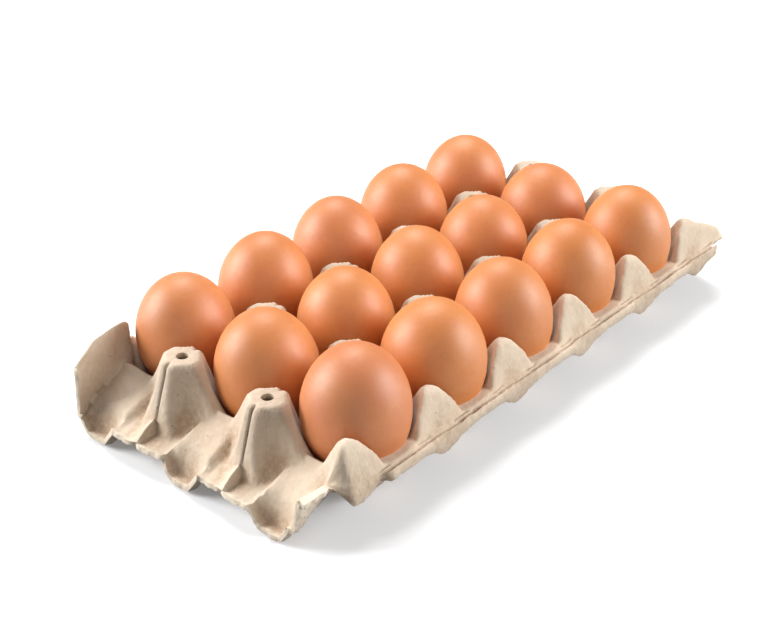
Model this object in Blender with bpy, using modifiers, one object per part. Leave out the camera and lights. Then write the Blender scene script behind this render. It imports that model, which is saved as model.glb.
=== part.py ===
"""Half of a moulded-pulp egg tray with its fifteen brown eggs.

The tray is one pulp sheet: square cells, a hollow post where four cells meet, a wall between the
rows, a low ledge between the columns, and a turned-out flange with half posts along its two long
sides. Its two ends are torn through a row of empty half cells.
Metres, +Z up. The origin is the middle of the tray on the surface that it stands on; X runs along
the rows and Y across the columns.
"""

import math

import bmesh
import bpy

# Layout: the cells are square, and the end rows are half cells.
PITCH = 0.0493
HALF = PITCH / 2
ROWS = 5
COLUMNS = 3
NEAR_END = -0.1500
FAR_END = 0.1500

# The pulp sheet, measured on its upper face.
PULP = 0.0022
FLOOR = PULP
LEDGE = 0.0082
RIM = 0.0245
WALL_TOP = 0.0250
POST_TOP = 0.0430

# Plan sizes of the features, from the middle of a post or of a cell.
POST_HALF = 0.0085
WALL_HALF = 0.0013
PIT_HALF = 0.0085
PIT_CORNER = 0.0108
CUP_TOP = 0.0270
CUP_BEND = 0.0232
CUP_BEND_HEIGHT = 0.0270
SIDE_FOOT = 0.0585
SIDE_TOP = 0.0720
SIDE_FACE = 0.0735

# Drop for each metre outwards.
POST_SLOPE_X = 3.6
POST_SLOPE_Y = 1.7
CUP_SLOPE = 4.2
CUP_LOW_SLOPE = 2.7
WALL_SLOPE = 1.85
PIT_SLOPE = 2.1

# Flange: distance from the middle and height of each line of its section.
FLANGE = ((0.0752, 0.0240), (0.0775, 0.0230), (0.0782, 0.0205))

# Torn ends: the tall corner panels, the missing bits of flange, and the lift of the near end.
PANEL_START = 0.1290
PANEL_DROP = 11.0
TEAR_START = 0.1380
LIFT_START = 0.1260
LIFT = 0.0022

# Plan lines of the sheet, either side of a post.
LINES_X = (0.0018, 0.0085, 0.0160, 0.0200)
LINES_Y = (0.0025, 0.0085, 0.0130, 0.0170, 0.0200)

# An average egg, blunt end up, and how each one differs: width and length factors, row by row.
EGG_RADIUS = 0.0223
BLUNT_LENGTH = 0.0288
POINT_LENGTH = 0.0290
EGG_GAP = 0.0005
EGG_SIDES = 14
EGG_RINGS = 8
EGGS = {
    "a": ((1.035, 1.02), (1.035, 1.00), (1.000, 1.00), (1.000, 1.00), (0.985, 0.99)),
    "b": ((1.020, 1.01), (0.995, 1.00), (0.990, 1.00), (0.985, 0.96), (0.995, 0.95)),
    "c": ((1.000, 0.99), (0.995, 1.01), (0.990, 1.00), (1.000, 0.99), (0.980, 0.98)),
}

PULP_COLOUR = (0.60, 0.50, 0.39, 1.0)
SHELL_COLOUR = (0.78, 0.36, 0.17, 1.0)


def clear_scene():
    for thing in list(bpy.data.objects):
        bpy.data.objects.remove(thing, do_unlink=True)


def make_material(name, colour, roughness):
    material = bpy.data.materials.new(name)
    material.use_nodes = True
    shader = material.node_tree.nodes["Principled BSDF"]
    shader.inputs["Base Color"].default_value = colour
    shader.inputs["Roughness"].default_value = roughness
    shader.inputs["Metallic"].default_value = 0.0
    return material


def add_object(name, mesh, material, collection):
    mesh.materials.append(material)
    thing = bpy.data.objects.new(name, mesh)
    collection.objects.link(thing)
    return thing


def clamp(value, low, high):
    return max(low, min(high, value))


def from_post(coordinate, posts):
    """Distance to the nearest post line, where posts is the number of lines."""
    lines = [(k - (posts - 1) / 2) * PITCH for k in range(posts)]
    return min(abs(coordinate - line) for line in lines)


def post_height(u, v):
    """A post with ridges along X and Y, hollowed on its diagonals by four round cups."""
    to_cell = math.hypot(HALF - u, HALF - v)
    upper_cup = POST_TOP - CUP_SLOPE * (CUP_TOP - to_cell)
    lower_cup = CUP_BEND_HEIGHT - CUP_LOW_SLOPE * (CUP_BEND - to_cell)
    return min(
        POST_TOP,
        POST_TOP - POST_SLOPE_X * (u - POST_HALF),
        POST_TOP - POST_SLOPE_Y * (v - POST_HALF),
        max(upper_cup, lower_cup),
    )


def wall_height(u):
    """The wall between two rows of cells."""
    return min(WALL_TOP, WALL_TOP - WALL_SLOPE * (u - WALL_HALF))


def pit_height(u, v):
    """The ledge between two columns, and the eight-sided pit in the middle of each cell."""
    a, b = HALF - u, HALF - v
    out = max(b - PIT_HALF, (a + b) * math.sqrt(0.5) - PIT_CORNER)
    return clamp(FLOOR + PIT_SLOPE * out, FLOOR, LEDGE)


def panel_top(x, y):
    """Height of the outer wall: the rim, or a tall rounded panel at two opposite corners."""
    if x * y >= 0 or abs(x) < PANEL_START - HALF / 2:
        return RIM
    beyond = max(0.0, abs(x) - PANEL_START)
    return max(RIM, POST_TOP - PANEL_DROP * beyond * beyond)


def side_height(x, y):
    """The outer wall of the two edge columns."""
    out = abs(y)
    if out < PITCH:
        return 0.0
    slope = (RIM - FLOOR) / (SIDE_TOP - SIDE_FOOT)
    height = RIM - slope * (SIDE_TOP - out)
    if out <= SIDE_TOP:
        return min(RIM, height)
    share = clamp((out - SIDE_TOP) / (SIDE_FACE - SIDE_TOP), 0.0, 1.0)
    return RIM + share * (panel_top(x, y) - RIM)


def sheet_height(x, y):
    """Upper face of the pulp at a point inside the outer walls."""
    u = min(from_post(x, ROWS + 1), HALF)
    v = min(from_post(y, COLUMNS + 1), HALF)
    return max(pit_height(u, v), wall_height(u), post_height(u, v), side_height(x, y))


def lift(x):
    """The empty near end has no eggs to weigh it down, so it curls up a little."""
    share = clamp((-x - LIFT_START) / (-NEAR_END - LIFT_START), 0.0, 1.0)
    return LIFT * share * share


def lines_round(posts, offsets, low, high):
    """Plan lines on both sides of every post line."""
    found = {low, high}
    for k in range(posts):
        post = (k - (posts - 1) / 2) * PITCH
        for offset in offsets:
            found |= {post - offset, post + offset}
    return sorted(line for line in found if low <= line <= high)


def merge_close(lines, gap):
    """Leaves out a line that nearly repeats the one before it."""
    kept = [lines[0]]
    for line in lines[1:]:
        if line - kept[-1] > gap:
            kept.append(line)
    return kept


def sheet_points():
    """Plan lines along X, and (y, height or None) lines across, flange included."""
    xs = merge_close(lines_round(ROWS + 1, LINES_X, NEAR_END, FAR_END), 0.0015)
    xs[-1] = FAR_END
    inner = merge_close(lines_round(COLUMNS + 1, LINES_Y, -SIDE_FACE, SIDE_FACE), 0.0010)
    ys = [(-y, z) for y, z in reversed(FLANGE)]
    ys += [(y, None) for y in inner]
    ys += list(FLANGE)
    return xs, ys


def make_tray(material, collection):
    xs, ys = sheet_points()
    bm = bmesh.new()
    bmesh.ops.create_grid(bm, x_segments=len(xs) - 1, y_segments=len(ys) - 1, size=1)
    bm.verts.ensure_lookup_table()
    order = sorted(bm.verts, key=lambda v: (round(v.co.x, 6), round(v.co.y, 6)))
    for index, vert in enumerate(order):
        x = xs[index // len(ys)]
        y, height = ys[index % len(ys)]
        z = sheet_height(x, y) if height is None else height
        vert.co = (x, y, z + lift(x))
    bmesh.ops.recalc_face_normals(bm, faces=bm.faces)
    if sum(face.normal.z for face in bm.faces) < 0:
        bmesh.ops.reverse_faces(bm, faces=bm.faces)
    bmesh.ops.delete(bm, geom=[f for f in bm.faces if is_missing(f)], context="FACES")
    mesh = bpy.data.meshes.new("tray")
    bm.to_mesh(mesh)
    bm.free()
    tray = add_object("tray", mesh, material, collection)
    shell = tray.modifiers.new("pulp_thickness", "SOLIDIFY")
    shell.thickness = PULP
    shell.offset = -1.0
    shell.use_even_offset = False
    shell.use_rim = True
    return tray


def is_missing(face):
    """The vent in the top of each inner post, and the flange torn off at two corners."""
    x, y, z = face.calc_center_median()
    on_post = from_post(x, ROWS + 1) < LINES_X[0] / 2 and from_post(y, COLUMNS + 1) < LINES_Y[0] / 2
    if on_post and abs(y) < PITCH:
        return True
    return x * y > 0 and abs(x) > TEAR_START and abs(y) > SIDE_FACE


def egg_profile(angle, width, length):
    """Radius and height above the egg's middle, from its blunt top down."""
    reach = BLUNT_LENGTH if math.cos(angle) > 0 else POINT_LENGTH
    narrow = 1.0 if math.cos(angle) > 0 else 1.0 - 0.08 * math.cos(angle) ** 2
    radius = EGG_RADIUS * width * math.sin(angle) * narrow
    return radius, reach * length * math.cos(angle)


def seat(x, y, width, length):
    """Height of the egg's middle when it comes down until it nearly touches the pulp."""
    lowest = 0.0
    for ring in range(1, 32):
        radius, height = egg_profile(math.pi * ring / 32, width, length)
        for side in range(32):
            turn = math.tau * side / 32
            surface = sheet_height(x + radius * math.cos(turn), y + radius * math.sin(turn))
            lowest = max(lowest, surface - height)
    return lowest + EGG_GAP


def make_egg(name, x, y, width, length, material, collection):
    bm = bmesh.new()
    bmesh.ops.create_uvsphere(bm, u_segments=EGG_SIDES, v_segments=EGG_RINGS, radius=1.0)
    for vert in bm.verts:
        angle = math.acos(clamp(vert.co.z, -1.0, 1.0))
        radius, height = egg_profile(angle, width, length)
        flat = math.hypot(vert.co.x, vert.co.y)
        scale = radius / flat if flat > 1e-6 else 0.0
        vert.co = (vert.co.x * scale, vert.co.y * scale, height)
    mesh = bpy.data.meshes.new(name)
    bm.to_mesh(mesh)
    bm.free()
    mesh.shade_smooth()
    egg = add_object(name, mesh, material, collection)
    egg.location = (x, y, seat(x, y, width, length))
    return egg


def make_eggs(material, collection):
    for column, letter in enumerate(EGGS):
        y = (column - (COLUMNS - 1) / 2) * PITCH
        for row, (width, length) in enumerate(EGGS[letter]):
            x = (row - (ROWS - 1) / 2) * PITCH
            make_egg(f"egg_{letter}{row + 1}", x, y, width, length, material, collection)


def main():
    clear_scene()
    collection = bpy.data.collections.new("egg_tray")
    bpy.context.scene.collection.children.link(collection)
    pulp = make_material("pulp", PULP_COLOUR, 0.9)
    shell = make_material("eggshell", SHELL_COLOUR, 0.45)
    make_tray(pulp, collection)
    make_eggs(shell, collection)


main()
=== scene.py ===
# %% [markdown]
# # Brown eggs in a moulded-pulp tray
#
# The tray is one sheet of grey-beige paper pulp, sucked onto a wire mould and dried, so it is
# about two millimetres thick all over, soft at every corner and rough with fibres. It was torn
# off a longer tray at both ends. The eggs are brown hens' eggs, each a little different.
#
# This lesson presses the sheet first, then shapes the eggs, then makes the two finishes and
# lights them like goods on a white table. The first cell loads the solid model that gives
# every size and place.

# %% Load the solid model
import math

import bmesh
import bpy
from mathutils import Matrix, Vector, noise


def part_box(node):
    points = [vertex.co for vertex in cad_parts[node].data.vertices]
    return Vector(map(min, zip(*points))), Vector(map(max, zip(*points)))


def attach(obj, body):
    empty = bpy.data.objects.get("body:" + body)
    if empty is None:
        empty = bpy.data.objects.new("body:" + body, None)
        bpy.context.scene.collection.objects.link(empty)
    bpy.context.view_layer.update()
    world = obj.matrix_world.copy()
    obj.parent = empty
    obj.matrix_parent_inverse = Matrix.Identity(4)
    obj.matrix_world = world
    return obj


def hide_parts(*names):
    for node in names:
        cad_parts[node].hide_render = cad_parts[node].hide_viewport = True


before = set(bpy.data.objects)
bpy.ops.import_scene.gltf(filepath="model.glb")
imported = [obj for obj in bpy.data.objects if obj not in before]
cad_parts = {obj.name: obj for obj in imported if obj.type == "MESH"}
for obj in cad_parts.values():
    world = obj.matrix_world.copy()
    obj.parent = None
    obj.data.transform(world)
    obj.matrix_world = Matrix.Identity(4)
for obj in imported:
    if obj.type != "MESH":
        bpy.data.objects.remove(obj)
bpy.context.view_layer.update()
tray_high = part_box("tray")[1]

# %% [markdown]
# ## Tools for working by hand
#
# An operator acts on whatever is selected, so each step starts by clearing the selection and
# then picks its own faces or points by where they are. These few helpers keep that short.

# %% Selection helpers
MM = 0.001


def deselect_all():
    if bpy.context.object and bpy.context.object.mode != "OBJECT":
        bpy.ops.object.mode_set(mode="OBJECT")
    bpy.ops.object.select_all(action="DESELECT")


def pick(thing):
    deselect_all()
    thing.select_set(True)
    bpy.context.view_layer.objects.active = thing


def select_points(thing, wanted):
    """Selects the points whose place passes the test, and leaves the piece in edit mode."""
    pick(thing)
    bpy.ops.object.mode_set(mode="EDIT")
    bpy.ops.mesh.select_mode(type="VERT")
    bpy.ops.mesh.select_all(action="DESELECT")
    bm = bmesh.from_edit_mesh(thing.data)
    for point in bm.verts:
        point.select = wanted(point.co)
    bm.select_flush(True)
    bmesh.update_edit_mesh(thing.data)


def select_faces(thing, wanted):
    """Selects the faces whose middle passes the test, and leaves the piece in edit mode."""
    pick(thing)
    bpy.ops.object.mode_set(mode="EDIT")
    bpy.ops.mesh.select_mode(type="FACE")
    bpy.ops.mesh.select_all(action="DESELECT")
    bm = bmesh.from_edit_mesh(thing.data)
    for face in bm.faces:
        face.select = wanted(face.calc_center_median())
    bm.select_flush(True)
    bmesh.update_edit_mesh(thing.data)


def apply_all(thing):
    pick(thing)
    for modifier in list(thing.modifiers):
        bpy.ops.object.modifier_apply(modifier=modifier.name)


def triangles(thing):
    return sum(len(face.vertices) - 2 for face in thing.data.polygons)


deselect_all()
print("Helpers are ready")

# %% [markdown]
# ## The mould
#
# A tray could be boxed up from extruded faces, but pulp has no straight edges to extrude: it
# flows from a post into a wall into a cup. The maker's mould is a surface with one height at
# each place, so the lesson writes the mould as a height, built from a few plain shapes, and
# joins them with a soft minimum and maximum, which round each meeting line by a set radius.

# %% Sizes of the mould, in millimetres
PITCH = 49.3
HALF = PITCH / 2
POST_LINES_X = 6
POST_LINES_Y = 4
PULP = 2.2
LIFT = 1.2
POST_TOP = 43.0
TAB_TOP = 40.6
WALL_TOP = 25.0
LEDGE = 8.2
END_LEDGE = 9.4
END_POSTS = 2.5 * PITCH
POST_EDGE = 8.6
CUP_TOP_RADIUS = 27.0
CUP_BREAK_RADIUS = 23.2
CUP_BREAK_HEIGHT = 27.0
FIN_START = 15.0
FIN_TOP = 19.8
FIN_LIP = 0.3
FOLD = 3.0
RIM = 24.5


def clamp(value, low=0.0, high=1.0):
    return max(low, min(high, value))


def soft_min(a, b, radius):
    share = clamp(0.5 + 0.5 * (b - a) / radius)
    return b + (a - b) * share - radius * share * (1 - share)


def soft_max(a, b, radius):
    return -soft_min(-a, -b, radius)


def nearest_line(place, count):
    """Signed distance from a place to the nearest of count evenly spaced post lines."""
    lines = [(k - (count - 1) / 2) * PITCH for k in range(count)]
    return min((place - line for line in lines), key=abs)


print("Post lines along X:", [round((k - 2.5) * PITCH, 1) for k in range(POST_LINES_X)])

# %% [markdown]
# ## A post, a wall, a pit
#
# A post stands where four cells meet. Four eggs scoop its corners away, which leaves a ridge
# towards each neighbour: short and steep along X, long and gentle along Y, where it runs down
# into the wall between two rows. Between two columns there is only a low ledge, and on it a
# thin fin, where the wet pulp folded double. The torn half cells hold no egg, so their pits
# show: a small floor in a steep bowl, with a ledge that rises towards each post. In each
# function u is the distance from a post line along X, and v along Y.

# %% Heights of a post, a wall and a pit
def post_height(u, v, top):
    to_cell = math.hypot(HALF - u, HALF - v)
    upper_cup = POST_TOP - 4.2 * (CUP_TOP_RADIUS - to_cell)
    lower_cup = CUP_BREAK_HEIGHT - 2.7 * (CUP_BREAK_RADIUS - to_cell)
    cup = soft_max(upper_cup, lower_cup, 2.0)
    ridge_x = soft_min(POST_TOP - 3.3 * (u - POST_EDGE), 21.2 - 7.0 * (u - 15.2), 1.5)
    ridge_y = POST_TOP - 1.7 * (v - POST_EDGE)
    body = soft_min(cup, soft_min(ridge_x, ridge_y, 2.0), 2.6)
    return soft_min(top, body, 1.8)


def wall_top(v):
    """The crest of a row wall, which sags a little between its posts."""
    return WALL_TOP - 0.9 * clamp((v - 14.0) / 10.0)


def wall_height(u, v):
    top = wall_top(v)
    face = top - 1.85 * (u - 1.3)
    foot = PULP + 0.95 * (19.0 - u)
    return soft_min(top, soft_max(face, foot, 2.5), 3.0)


def pit_height(u, v):
    a, b = HALF - u, HALF - v
    out = soft_max(b - 8.5, (a + b) * math.sqrt(0.5) - 10.8, 3.0)
    rise = soft_max(PULP, PULP + 2.1 * out, 2.2)
    return soft_min(rise, LEDGE, 2.0)


def end_cell_height(u, v, beside_ledge):
    """A torn half cell: a bowl round a small floor, a ledge at its side and a steep row wall."""
    a, b = abs(HALF - u), HALF - v
    top = wall_top(v)
    face = soft_min(top, top - 2.2 * (u - 1.3), 2.5)
    out = math.hypot(a, 0.62 * b) - 3.4
    bowl = soft_max(0.0, soft_min(2.7 * out, 12.4 + 0.58 * (out - 4.6), 1.4), 0.5)
    if beside_ledge:
        bowl = soft_max(bowl, 1.9 * (b - 8.0), 1.5)
        ledge = END_LEDGE - PULP + 0.43 * a + 1.4 * max(0.0, 11.0 - b)
        bowl = soft_min(bowl, ledge, 0.9)
    return soft_max(face, PULP + bowl, 2.0)


def fin_height(u, v):
    """A folded crest on the ledge: steep on one side, sloping on the other."""
    out = u - FIN_START
    crest = FIN_TOP - 0.45 * out - 0.033 * out * out
    fall = 0.9 * max(0.0, v - FIN_LIP) if v > 0 else 7.0 * max(0.0, -v - FIN_LIP)
    return crest - fall


def crease_share(u, v):
    """How far a place lies in the fold down the steep ridge of a post."""
    along = clamp((u - 6.6) / 1.5) * clamp((16.5 - u) / 1.0)
    return along * math.exp(-((v / 0.5) ** 2))


print("Wall over ledge:", round(wall_height(0, 20), 1), round(end_cell_height(24, 2, True), 1))

# %% [markdown]
# ## The long sides
#
# Outside the edge columns the cup wall climbs to a rim, then turns out into a narrow flange
# with a rolled lip. At each post line half a post stands on the rim with a nearly upright outer
# face. At two opposite corners the outer wall is pressed tall, right up to post height, and its
# top edge falls away in a curve towards the torn end.

# %% Heights of the long sides
SIDE_FOOT = 58.5
SIDE_TOP = 72.0
SIDE_FACE = 73.5
TALL_CORNER = (113.5, 4.0)
TORN_CORNER = (128.0, 7.0)


def panel_top(x, y):
    """The top edge of the outer wall at the two tall corners; elsewhere it is the rim."""
    if x * y >= 0 or abs(x) < TALL_CORNER[0] - 0.5:
        return RIM
    if x > 0:
        return soft_min(TAB_TOP, TAB_TOP - 0.56 * (x - 127.0), 5.0)
    beyond = max(0.0, -x - 124.0)
    return POST_TOP + 0.6 - 0.0098 * beyond * beyond - 0.00026 * beyond ** 3


def outer_face(y):
    """The leaning outer face of a half post: it meets the rim just inside the flange."""
    return RIM + 3.1 * max(0.0, SIDE_FACE - 0.1 - abs(y))


def side_height(x, y):
    out = abs(y)
    slope = (RIM - PULP) / (SIDE_TOP - SIDE_FOOT)
    level = soft_min(PULP + slope * (out - SIDE_FOOT), RIM, 2.0)
    panel = soft_min(panel_top(x, y), RIM + 9.0 * (out - 66.0), 1.5)
    return max(level, soft_min(panel, outer_face(y), 1.0))


def corner_share(x, y):
    """How upright the outer wall is here: 0 along the tray, 1 in the tall or torn corners."""
    if abs(y) < PITCH or (x > 0 and y < 0):
        return 0.0
    start, length = TORN_CORNER if x * y > 0 else TALL_CORNER
    share = clamp((abs(x) - start) / length)
    return share * share * (3 - 2 * share)


def low_height(x, y):
    """The mould without its posts and outer walls."""
    u = abs(nearest_line(x, POST_LINES_X))
    v = nearest_line(y, POST_LINES_Y)
    if abs(x) > END_POSTS:
        height = end_cell_height(u, abs(v), abs(y) < PITCH)
    else:
        height = soft_max(pit_height(u, abs(v)), wall_height(u, abs(v)), 3.0)
    if abs(y) < 60 and u > 13:
        height = soft_max(height, fin_height(u, v), 1.0)
    return height


def mould_height(x, y):
    """Upper face of the pulp, in millimetres, for a place inside the outer faces."""
    u = abs(nearest_line(x, POST_LINES_X))
    v = nearest_line(y, POST_LINES_Y)
    low = low_height(x, y)
    height = low
    post_top = POST_TOP if abs(y) < PITCH else TAB_TOP
    if abs(y) > PITCH:
        height = soft_max(height, side_height(x, y), 2.0)
    post = post_height(u, abs(v), post_top)
    if abs(y) > PITCH:
        post = soft_min(post, outer_face(y), 1.0)
    height = soft_max(height, post, 1.6) - FOLD * crease_share(u, v)
    if x * y < 0:
        height += corner_share(x, y) * (low - height)
    return height


print("Post", round(mould_height(HALF, HALF), 1), "cell floor", round(mould_height(0, 0), 1))

# %% [markdown]
# ## The wet sheet
#
# The sheet starts as a flat grid. Its lines could be evenly spaced, but the folds beside each
# post are thinner than a millimetre, so the lines crowd together at the post lines and spread
# out over the cups. The three outermost lines on each side make the flange and its lip.

# %% Spacing of the grid
TEAR_ROOM = 0.3
FAR_END = round(tray_high.x / MM, 1) - TEAR_ROOM
NEAR_END = -FAR_END


def crowded_lines(count, low, high, fine, coarse):
    """Places of grid lines that are close near every post line and wide between them."""
    offsets, reach, step = [fine / 2], fine / 2, fine
    while reach + step < HALF - coarse * 0.4:
        reach += step
        offsets.append(reach)
        step = min(coarse, step * 1.18)
    lines = {low, high}
    for k in range(count):
        post = (k - (count - 1) / 2) * PITCH
        for offset in offsets:
            lines |= {post - offset, post + offset}
    inside = sorted(line for line in lines if low <= line <= high)
    kept = [inside[0]]
    for line in inside[1:]:
        if line - kept[-1] > fine * 0.6:
            kept.append(line)
    kept[-1] = high
    return kept


FLANGE = [(74.6, 24.0), (75.0, 23.2), (75.7, 22.9), (76.5, 23.8), (77.2, 24.3), (77.9, 23.8)]
FLANGE += [(78.2, 22.6), (78.1, 21.0), (77.7, 19.6)]
lines_x = crowded_lines(POST_LINES_X, NEAR_END, FAR_END, 0.9, 1.35)
lines_y = crowded_lines(POST_LINES_Y, -SIDE_FACE, SIDE_FACE, 0.5, 1.35)
rows_y = [(-y, z) for y, z in reversed(FLANGE)] + [(y, None) for y in lines_y] + FLANGE
print("Grid of", len(lines_x), "by", len(rows_y), "lines")

# %% [markdown]
# ## Pressing the sheet
#
# Pressing gives every grid point its place on the mould. The corners need more than a height,
# because their outer walls are upright: there the outer rows of the grid are drawn along a
# path in the cross-section instead. Real pulp shrinks unevenly as it dries, so a slow drift of
# about half a millimetre is added, the near end splays and curls up a little, and the torn ends
# wander in and out. Blender's noise gives the same value at the same place each run.

# %% Drift, tears and the splayed end
def drift(x, y, z, size, seed):
    """A slow wander in X, Y and Z; each reads the noise at an offset of its own."""
    place = Vector((x / size + seed, y / size, z / size))
    step = Vector((9.3, -1.5, -8.0))
    return Vector([noise.noise(place + step * k) for k in range(3)])


def torn_shift(x, y):
    """How far the tear pulls a point back along X; it fades out within twelve millimetres."""
    share = clamp((abs(x) - 137.0) / 12.7)
    if share == 0:
        return 0.0
    side = math.copysign(1.0, x)
    slow = noise.noise(Vector((y / 14.0, side * 7.3, 2.0)))
    quick = noise.noise(Vector((y / 2.6, side * 3.1, 5.0)))
    return -side * share * (0.6 + 1.6 * slow + 0.9 * quick)


def near_share(x):
    return clamp((-x - 126.0) / 24.0)


def splay(x, y):
    return near_share(x) ** 1.5 * (3.4 + 0.05 * y)


print("The near end splays by", round(splay(NEAR_END, 0), 1), "mm")

# %% [markdown]
# ## Upright corners and the hanging lip
#
# A height alone can't draw a wall that stands upright, so at the corners each column of the
# grid is laid along a short path of corners instead. The flange is treated in the same way: it
# hangs down in a bulge below each half post, where the hollow post pulled the wet lip in.

# %% Sections of the corners and the flange
def along_path(corners, t):
    """The point at share t of a line through the corners, each given as (t, y, z)."""
    for (t0, y0, z0), (t1, y1, z1) in zip(corners, corners[1:]):
        if t <= t1:
            part = clamp((t - t0) / (t1 - t0))
            return y0 + part * (y1 - y0), z0 + part * (z1 - z0)
    return corners[-1][1:]


def corner_section(x, y, t):
    """Upright outer wall of an end cell, t running from its foot to its top edge."""
    if x * y > 0:
        ragged = 1.8 * noise.noise(Vector((x / 2.3, y / 9.0, 4.0)))
        wall = [(0.0, 58.0, 2.3), (0.1, 59.2, 4.0), (0.5, 63.0, 23.0), (0.6, 64.2, 24.6)]
        return along_path(wall + [(1.0, 67.5 + ragged, 24.4 + 0.5 * ragged)], t)
    top = panel_top(x, y)
    if x > 0:
        wall = [(0.0, 59.5, 2.3), (0.06, 61.5, 3.2), (0.12, 62.6, 6.0)]
        return along_path(wall + [(0.95, 66.2, top - 0.3), (1.0, 66.9, top)], t)
    lean = 64.8 + 0.02 * (-x - 123.0) - splay(x, y)
    wall = [(0.0, lean - 2.2, 2.3), (0.06, lean - 0.9, 3.2), (0.13, lean - 0.3, 7.0)]
    wall += [(0.5, lean - 0.6, 24.0), (0.94, lean - 0.9, top - 0.5), (1.0, lean + 0.6, top)]
    return along_path(wall, t)


def skirt(x, y, z, step):
    """Lets the flange hang down in a bulge below each half post, and ends it at the torn one."""
    u = nearest_line(x, POST_LINES_X)
    bulge = math.exp(-((u / 8.0) ** 2)) * clamp((step - 3) / 5.0)
    out = abs(y) - 1.8 * bulge
    z -= 6.5 * bulge
    torn = clamp((-110.0 - x) / 3.0) if y < 0 else 0.0
    if torn:
        bottom = min(23.6, 14.8 + 0.045 * (x + END_POSTS) ** 2)
        down = (step + 1) / len(FLANGE)
        out += torn * (SIDE_FACE + 0.9 * math.sin(down * 3.0) - out)
        z += torn * (23.9 + down * (bottom - 23.9) - z)
    return math.copysign(out, y), z


print("A corner wall tops out at", round(corner_section(FAR_END, 60, 1)[1], 1), "mm")

# %% [markdown]
# ## Laying the grid on the mould
#
# Each point of a plain grid is now moved to its place. Two numbers are kept with it for the
# finish: how far it lies in a fold, where a painted shade darkens it almost to black, and how
# deep it lies in a hollow, where a painted warm brown shade darkens it.

# %% Press the grid onto the mould
OUTER_ROWS = sum(1 for y, _ in rows_y if y > 59.0)
SHADE_REACH = 8.0
SHADE_DEPTH = 6.0


def press(column, row):
    x = lines_x[column]
    y, height = rows_y[row]
    outer = min(row, len(rows_y) - 1 - row)
    if height is None:
        z = mould_height(x, y)
    else:
        y, z = skirt(x, y, height, len(FLANGE) - 1 - outer)
    share = corner_share(x, y)
    if outer < OUTER_ROWS and share > 0:
        t = 1.0 - outer / (OUTER_ROWS - 1)
        upright = corner_section(x, y, t)
        foot = low_height(x, 58.5)
        y = math.copysign(abs(y) + share * (upright[0] - abs(y)), y)
        z += share * (soft_max(upright[1], foot, 1.5) - z)
    slow = drift(x, y, z, 24.0, 3.7)
    quick = drift(x, y, z, 7.0, 11.2)
    if height is not None:
        ragged = drift(x, y, z, 2.6, 5.1)
        y += 0.35 * ragged.y
        z += 0.35 * ragged.z
        quick *= 2.2
    high = clamp((z - 4.0) / 10.0)
    near = near_share(x)
    x += (0.45 * slow.x + 0.18 * quick.x) * high + torn_shift(x, y)
    y += (0.45 * slow.y + 0.18 * quick.y) * high + splay(x, y)
    z += (0.35 * slow.z + 0.15 * quick.z) * high + LIFT * near * near
    return Vector((x, y, z)) * MM


# This depth sets how strongly the hollows get their painted warm shade.
def hollow_share(x, y):
    """How deep a place lies below the mould around it, from 0 to 1."""
    around = mould_height(x - SHADE_REACH, y) + mould_height(x + SHADE_REACH, y)
    around += mould_height(x, y - SHADE_REACH) + mould_height(x, y + SHADE_REACH)
    return clamp((around / 4 - mould_height(x, y)) / SHADE_DEPTH)


deselect_all()
bpy.ops.mesh.primitive_grid_add(
    x_subdivisions=len(lines_x) - 1, y_subdivisions=len(rows_y) - 1, size=1
)
pulp_tray = bpy.context.object
pulp_tray.name = "pulp_tray"
crease_shades, hollow_shades = [], []
for point in pulp_tray.data.vertices:
    column = round((point.co.x + 0.5) * (len(lines_x) - 1))
    row = round((point.co.y + 0.5) * (len(rows_y) - 1))
    point.co = press(column, row)
    u = abs(nearest_line(lines_x[column], POST_LINES_X))
    v = nearest_line(rows_y[row][0], POST_LINES_Y)
    # The fold share sets the painted dark shade in the folds.
    crease_shades.append(crease_share(u, v) if abs(rows_y[row][0]) < PITCH else 0.0)
    # The depth below the mould around sets the painted warm shade in the hollows.
    hollow_shades.append(hollow_share(lines_x[column], rows_y[row][0]))
crease = pulp_tray.data.attributes.new("crease", "FLOAT", "POINT")
crease.data.foreach_set("value", crease_shades)
hollow = pulp_tray.data.attributes.new("hollow", "FLOAT", "POINT")
hollow.data.foreach_set("value", hollow_shades)
print("Pressed", len(crease_shades), "points")

# %% [markdown]
# ## Vents and tears
#
# The mould leaves a round vent in the top of each inner post. The flange is missing at one
# far corner, where it tore off with the next piece of tray. Both are picked by place and
# deleted, the tops of the half posts are smoothed, and the rim of each vent is drawn onto a
# circle.

# %% Cut the vents and the torn flange
VENT_RADIUS = 2.7
INNER_TOP = 30.0


def is_vent(middle):
    x, y = middle.x / MM, middle.y / MM
    u, v = nearest_line(x, POST_LINES_X), nearest_line(y, POST_LINES_Y)
    return abs(y) < PITCH and middle.z / MM > INNER_TOP and math.hypot(u, v) < VENT_RADIUS


def is_torn_off(middle):
    x, y = middle.x / MM, middle.y / MM
    ragged = 2.0 * noise.noise(Vector((x / 3.0, y / 3.0, 9.0)))
    return x > 138.0 + ragged and y < -SIDE_FACE - 1.4


select_faces(pulp_tray, lambda middle: is_vent(middle) or is_torn_off(middle))
bpy.ops.mesh.delete(type="FACE")
select_points(pulp_tray, lambda place: abs(place.y) > 64 * MM and place.z > 25.5 * MM)
bpy.ops.mesh.vertices_smooth(factor=0.5, repeat=3)
bpy.ops.object.mode_set(mode="OBJECT")

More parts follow.
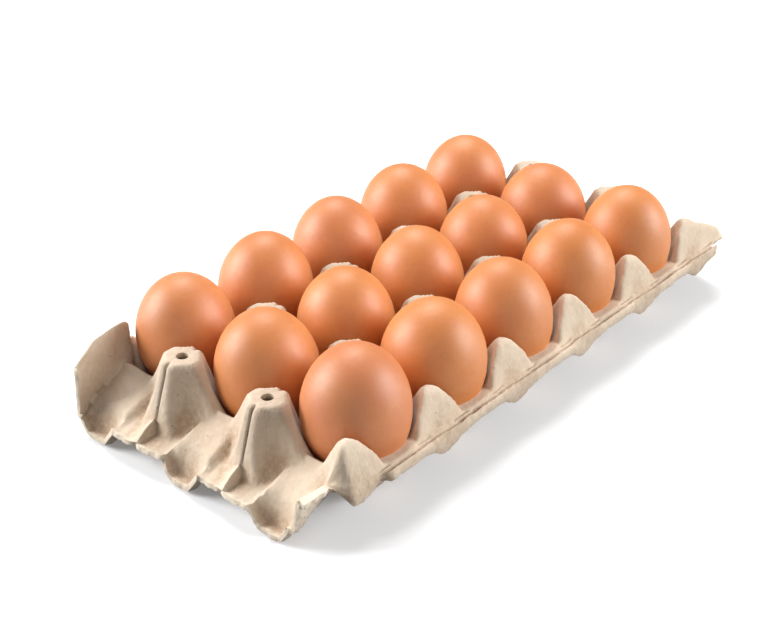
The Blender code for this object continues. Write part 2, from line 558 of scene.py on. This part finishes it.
bm = bmesh.new()
bm.from_mesh(pulp_tray.data)
for point in bm.verts:
    x, y = point.co.x / MM, point.co.y / MM
    if point.is_boundary and point.co.z / MM > INNER_TOP and abs(y) < 40 and abs(x) < 130:
        u, v = nearest_line(x, POST_LINES_X), nearest_line(y, POST_LINES_Y)
        stretch = VENT_RADIUS / math.hypot(u, v)
        point.co.x += (u * stretch - u) * MM
        point.co.y += (v * stretch - v) * MM
bm.to_mesh(pulp_tray.data)
bm.free()
print("Faces left:", len(pulp_tray.data.polygons))

# %% [markdown]
# ## Thickness
#
# Solidify gives the sheet its two millimetres downwards, and a small bevel breaks only the
# sharp torn edges.

# %% Give the sheet its thickness
thickness = pulp_tray.modifiers.new("pulp", "SOLIDIFY")
thickness.thickness = PULP * MM
thickness.offset = -1.0
thickness.use_even_offset = False
worn = pulp_tray.modifiers.new("worn edges", "BEVEL")
worn.width = 0.5 * MM
worn.segments = 2
worn.limit_method = "ANGLE"
worn.angle_limit = math.radians(58)
apply_all(pulp_tray)
torn = pulp_tray.data.attributes.new("torn", "FLOAT", "POINT")
for point in pulp_tray.data.vertices:
    point.co.z = max(point.co.z, 0.0)
    x, y = point.co.x / MM, point.co.y / MM
    end = clamp((abs(x) - 146.5) / 2.5)
    side = clamp((abs(y) - 62.0) / 2.0) * clamp((abs(x) - 132.0) / 4.0) * (1.0 if x * y > 0 else 0.0)
    torn.data[point.index].value = max(end, side)
pick(pulp_tray)
bpy.ops.object.shade_smooth()
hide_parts("tray")
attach(pulp_tray, "root")
print("The tray has", triangles(pulp_tray), "triangles")

# %% [markdown]
# ## The eggs
#
# A sphere is only a start: an egg is blunt at one end and drawn out at the other. Each sphere
# is stretched in edit mode, the lower half more than the upper, and its lower rings are drawn
# in a little. The solid model says how wide, how long and where each egg is. A small tilt and
# a small dent or swelling make each one its own.

# %% Shape the eggs
EGG_NAMES = [name for name in sorted(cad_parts) if name.startswith("egg_")]


def make_shell(node, number):
    low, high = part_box(node)
    middle = (low + high) / 2
    width = (high.x - low.x) * 1.012
    length = high.z - low.z
    waist = low.z + length * 0.502
    deselect_all()
    bpy.ops.mesh.primitive_uv_sphere_add(segments=48, ring_count=32, radius=width / 2)
    shell = bpy.context.object
    shell.name = "shell_" + node[-2:]
    rise, depth = high.z - waist, waist - low.z
    select_points(shell, lambda place: place.z > 1e-6)
    bpy.ops.transform.resize(value=(1, 1, rise / (width / 2)), center_override=(0, 0, 0))
    select_points(shell, lambda place: place.z < -1e-6)
    bpy.ops.transform.resize(value=(1, 1, depth / (width / 2)), center_override=(0, 0, 0))
    bpy.ops.object.mode_set(mode="OBJECT")
    turn = Matrix.Rotation(math.radians(2.6) * math.sin(number * 2.4), 3, "X")
    turn @= Matrix.Rotation(math.radians(2.6) * math.cos(number * 1.7), 3, "Y")
    for point in shell.data.vertices:
        down = clamp(-point.co.z / depth)
        drawn = 1 - 0.075 * down * down
        up = clamp(point.co.z / rise)
        full = 1 + 0.012 * up * (1 - up) * 4
        point.co.x *= drawn * full
        point.co.y *= drawn * full
        swell = noise.noise(point.co / (26 * MM) + Vector((number * 5.3, 0, 0)))
        point.co *= 1 + 0.006 * swell
        point.co = turn @ point.co
    shell.data.transform(Matrix.Translation((middle.x, middle.y, waist)))
    bpy.ops.object.shade_smooth()
    return shell


shells = [make_shell(node, number) for number, node in enumerate(EGG_NAMES)]
for shell, node in zip(shells, EGG_NAMES):
    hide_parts(node)
    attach(shell, "root")
print(len(shells), "eggs of", triangles(shells[0]), "triangles each")

# %% [markdown]
# ## Shader maths
#
# Writing materials node by node is long, so a small class wraps a socket. Plain Python
# operators on it add Math nodes, and one method adds any other node.

# %% A small class for shader maths
class Wire:
    """A socket with operators: each expression adds its Math nodes."""

    def __init__(self, tree, socket):
        self.tree = tree
        self.socket = socket

    def node(self, kind, settings, **sockets):
        """Adds a node, with its settings first and then its sockets' values or links."""
        made = self.tree.nodes.new(kind)
        for name, value in settings.items():
            setattr(made, name, value)
        for name, value in sockets.items():
            wanted = name.replace("_", " ")
            socket = next(s for s in made.inputs if s.name == wanted and s.enabled)
            if isinstance(value, Wire):
                self.tree.links.new(value.socket, socket)
            else:
                socket.default_value = value
        return Wire(self.tree, next(s for s in made.outputs if s.enabled))

    def maths(self, operation, *values):
        made = self.tree.nodes.new("ShaderNodeMath")
        made.operation = operation
        for socket, value in zip(made.inputs, values):
            if isinstance(value, Wire):
                self.tree.links.new(value.socket, socket)
            else:
                socket.default_value = value
        return Wire(self.tree, made.outputs[0])

    def __add__(self, other):
        return self.maths("ADD", self, other)

    def __rsub__(self, other):
        return self.maths("SUBTRACT", other, self)

    def __mul__(self, other):
        return self.maths("MULTIPLY", self, other)

    def attribute(self, name):
        """A number that the piece's own points carry."""
        found = self.tree.nodes.new("ShaderNodeAttribute")
        found.attribute_name = name
        return Wire(self.tree, found.outputs["Fac"])

    def over(self, low, high):
        """Rises from 0 to 1 as the value goes from low to high."""
        return self.node(
            "ShaderNodeMapRange",
            {"interpolation_type": "SMOOTHSTEP"},
            Value=self, From_Min=low, From_Max=high,
        )

    def tint(self, low, high):
        """Mixes two colours, each a tuple or a wire, by this value."""
        return self.node(
            "ShaderNodeMix", {"data_type": "RGBA"}, Factor=self, A=low, B=high
        )

    __radd__ = __add__
    __rmul__ = __mul__


def start_material(name, roughness):
    material = bpy.data.materials.new(name)
    material.use_nodes = True
    tree = material.node_tree
    shader = tree.nodes["Principled BSDF"]
    shader.inputs["Roughness"].default_value = roughness
    place = tree.nodes.new("ShaderNodeTexCoord")
    return material, shader, Wire(tree, place.outputs["Object"])


def plug(wire, shader, name):
    wire.tree.links.new(wire.socket, shader.inputs[name])


print("Wire is ready")

# %% [markdown]
# ## Pulp
#
# Grey board is mashed newspaper: short fibres lying every way, a few dark specks of ink and
# bits of straw. Painted shade darkens the hollows to a warm brown and the folds almost to black.
# Long thin noise, stretched along different directions, gives the fibres; round noise gives
# lumps; a fine cell pattern, cut off high, gives the specks.

# %% Pulp material
def fibres(place, turn, thin, length):
    """Noise drawn out along one direction, turned in all three axes."""
    spun = place.node(
        "ShaderNodeMapping", {}, Vector=place, Rotation=turn, Scale=(thin, thin, length)
    )
    return place.node(
        "ShaderNodeTexNoise", {}, Vector=spun, Scale=1.0, Detail=2.0, Roughness=0.55
    )


def make_pulp():
    material, shader, place = start_material("pulp", 0.93)
    shader.inputs["Specular IOR Level"].default_value = 0.25
    shader.inputs["Sheen Weight"].default_value = 0.15
    cloud = place.node("ShaderNodeTexNoise", {}, Vector=place, Scale=34.0, Detail=4.0)
    grain = place.node("ShaderNodeTexNoise", {}, Vector=place, Scale=420.0, Detail=5.0)
    lump = place.node("ShaderNodeTexNoise", {}, Vector=place, Scale=150.0, Detail=3.0)
    strands = fibres(place, (0.4, 0.9, 0.2), 1500.0, 160.0)
    strands = strands.maths("MAXIMUM", strands, fibres(place, (1.5, 0.3, 1.1), 1500.0, 160.0))
    strands = strands.maths("MAXIMUM", strands, fibres(place, (0.9, 2.2, 2.4), 1400.0, 150.0))
    speck = place.node(
        "ShaderNodeTexVoronoi", {"feature": "F1"}, Vector=place, Scale=230.0, Randomness=1.0
    )
    dark_speck = 1 - speck.over(0.07, 0.13)
    straw = fibres(place, (0.2, 1.3, 0.7), 700.0, 60.0).over(0.69, 0.75)
    crease = place.attribute("crease")
    torn = place.attribute("torn")
    hollow = place.attribute("hollow")
    base = cloud.over(0.32, 0.68).tint((0.585, 0.455, 0.335, 1), (0.68, 0.555, 0.425, 1))
    # Painted shade: the hollows are darkened to a warm brown, for the shade there and the warm light
    # the eggs bounce into it.
    base = (hollow * 0.75).tint(base, (0.38, 0.235, 0.14, 1))
    base = (grain.over(0.35, 0.7) * 0.35).tint(base, (0.72, 0.61, 0.48, 1))
    base = (strands.over(0.6, 0.78) * 0.4).tint(base, (0.78, 0.69, 0.57, 1))
    base = (straw * 0.5).tint(base, (0.42, 0.30, 0.19, 1))
    base = (torn * (0.35 + grain * 0.6)).tint(base, (0.80, 0.70, 0.56, 1))
    base = (dark_speck * grain.over(0.45, 0.6) * 0.6).tint(base, (0.26, 0.19, 0.13, 1))
    # Painted shade: the folds beside the post ridges are darkened almost to black, for the shade in
    # the narrow slit.
    base = (crease * 0.95).tint(base, (0.10, 0.06, 0.03, 1))
    plug(base, shader, "Base Color")
    relief = lump * 0.9 + grain * 0.45 + strands * 0.35 + torn * grain * 0.8
    bump = place.node("ShaderNodeBump", {}, Height=relief, Strength=0.55, Distance=0.0011)
    plug(bump, shader, "Normal")
    return material


pulp_tray.data.materials.clear()
pulp_tray.data.materials.append(make_pulp())
print("Pulp is on the tray")

# %% [markdown]
# ## Eggshell
#
# A brown shell gets its colour in the last hours before it is laid, so it is slightly cloudy,
# freckled with darker dots and often paler at one end. Its surface has fine pores and a soft
# satin bloom. Each egg carries one number, its tone, that shifts it between orange and pink.

# %% Eggshell material
TONES = {
    "a1": 0.9, "a2": 0.15, "a3": 0.3, "a4": 0.1, "a5": 0.2,
    "b1": 0.3, "b2": 0.1, "b3": 0.2, "b4": 0.35, "b5": 0.6,
    "c1": 0.6, "c2": 0.45, "c3": 0.7, "c4": 0.35, "c5": 0.5,
}


def make_eggshell():
    material, shader, place = start_material("eggshell", 0.42)
    shader.inputs["Specular IOR Level"].default_value = 0.7
    shader.inputs["Subsurface Weight"].default_value = 0.12
    shader.inputs["Subsurface Scale"].default_value = 0.002
    shader.inputs["Subsurface Radius"].default_value = (1.0, 0.5, 0.3)
    tone = place.attribute("tone")
    cloud = place.node("ShaderNodeTexNoise", {}, Vector=place, Scale=55.0, Detail=3.0)
    mottle = place.node("ShaderNodeTexNoise", {}, Vector=place, Scale=380.0, Detail=3.0)
    freckle = place.node(
        "ShaderNodeTexVoronoi", {"feature": "F1"}, Vector=place, Scale=420.0, Randomness=1.0
    )
    pore = place.node(
        "ShaderNodeTexVoronoi", {"feature": "F1"}, Vector=place, Scale=1500.0, Randomness=1.0
    )
    base = tone.tint((0.60, 0.20, 0.046, 1), (0.56, 0.185, 0.07, 1))
    base = (cloud.over(0.3, 0.7) * 0.35).tint(base, (0.68, 0.28, 0.095, 1))
    base = (mottle.over(0.45, 0.7) * 0.18).tint(base, (0.50, 0.15, 0.05, 1))
    dots = (1 - freckle.over(0.05, 0.16)) * mottle.over(0.5, 0.62)
    base = (dots * 0.35).tint(base, (0.36, 0.10, 0.035, 1))
    plug(base, shader, "Base Color")
    satin = 0.45 + mottle * 0.10
    plug(satin, shader, "Roughness")
    relief = pore.over(0.0, 0.5) * 0.6 + mottle * 0.4
    bump = place.node("ShaderNodeBump", {}, Height=relief, Strength=0.25, Distance=0.0003)
    plug(bump, shader, "Normal")
    return material


eggshell = make_eggshell()
for shell in shells:
    tone = shell.data.attributes.new("tone", "FLOAT", "POINT")
    tone.data.foreach_set("value", [TONES[shell.name[-2:]]] * len(shell.data.vertices))
    shell.data.materials.clear()
    shell.data.materials.append(eggshell)
print("Eggshell is on", len(shells), "eggs")

# %% [markdown]
# ## Floor, light and camera
#
# The tray stands on a pale table in soft light: one broad lamp on each side, which leaves the
# middle of each egg darker, one above and behind, which puts a pale cap on each, and a weak
# one in front that fills the shade. The camera looks down from the near left corner with a
# medium long lens.

# %% Floor
deselect_all()
bpy.ops.mesh.primitive_plane_add(size=8.0, location=(0, 0, -0.00005))
floor = bpy.context.object
floor.name = "floor"
table, table_shader, _ = start_material("table", 0.9)
table_shader.inputs["Base Color"].default_value = (0.93, 0.93, 0.935, 1)
table_shader.inputs["Specular IOR Level"].default_value = 0.1
table_shader.inputs["Emission Color"].default_value = (0.97, 0.98, 1.0, 1)
table_shader.inputs["Emission Strength"].default_value = 0.12
floor.data.materials.append(table)
floor.visible_diffuse = False
print("The table is", tuple(round(size, 1) for size in floor.dimensions))

# %% Lamps
LAMP_DISTANCE = 2.4


def seen_from(azimuth, elevation):
    """The direction towards a lamp or the camera; azimuth 0 stands on the -Y side."""
    turn, rise = math.radians(azimuth), math.radians(elevation)
    return Vector(
        (math.sin(turn) * math.cos(rise), -math.cos(turn) * math.cos(rise), math.sin(rise))
    )


def soft_lamp(name, azimuth, elevation, size, power):
    """A rectangular lamp that faces the tray."""
    back = seen_from(azimuth, elevation)
    lamp = bpy.data.lights.new(name, "AREA")
    lamp.shape = "RECTANGLE"
    lamp.size, lamp.size_y = size
    lamp.energy = power
    holder = bpy.data.objects.new(name, lamp)
    bpy.context.scene.collection.objects.link(holder)
    holder.location = back * LAMP_DISTANCE + Vector((0, 0, 0.03))
    holder.rotation_euler = back.to_track_quat("Z", "Y").to_euler()


soft_lamp("lamp_left", -146, 24, (1.3, 1.3), 86)
soft_lamp("lamp_right", 38, 22, (1.3, 1.3), 70)
soft_lamp("lamp_back", 140, 60, (1.2, 1.2), 44)
soft_lamp("lamp_front", -45, 20, (1.8, 1.2), 9)
world = bpy.data.worlds.new("studio")
bpy.context.scene.world = world
world.use_nodes = True
sky = world.node_tree.nodes["Background"]
sky.inputs["Color"].default_value = (1, 1, 1, 1)
sky.inputs["Strength"].default_value = 0.13
bpy.context.scene.view_settings.view_transform = "Standard"
print("Four lamps and a white room")

# %% Camera
def make_camera(azimuth, elevation, roll, place, lens):
    back = seen_from(azimuth, elevation)
    right = Vector((0, 0, 1)).cross(back).normalized()
    up = back.cross(right)
    tilt = Matrix.Rotation(math.radians(roll), 3, "Z")
    facing = Matrix((right, up, back)).transposed() @ tilt
    data = bpy.data.cameras.new("camera")
    data.lens = lens
    data.sensor_width = 36.0
    data.clip_start = 0.01
    camera = bpy.data.objects.new("camera", data)
    bpy.context.scene.collection.objects.link(camera)
    camera.matrix_world = Matrix.Translation(place) @ facing.to_4x4()
    bpy.context.scene.camera = camera
    return camera


camera = make_camera(-49.2, 29.73, -0.59, (-0.4825, -0.3966, 0.3748), 72.2)
print("The camera is", round(camera.location.length, 2), "m from the middle of the tray")

# %% [markdown]
# ## Last step
#
# The last cell clears the selection.

# %% Clear the selection
deselect_all()
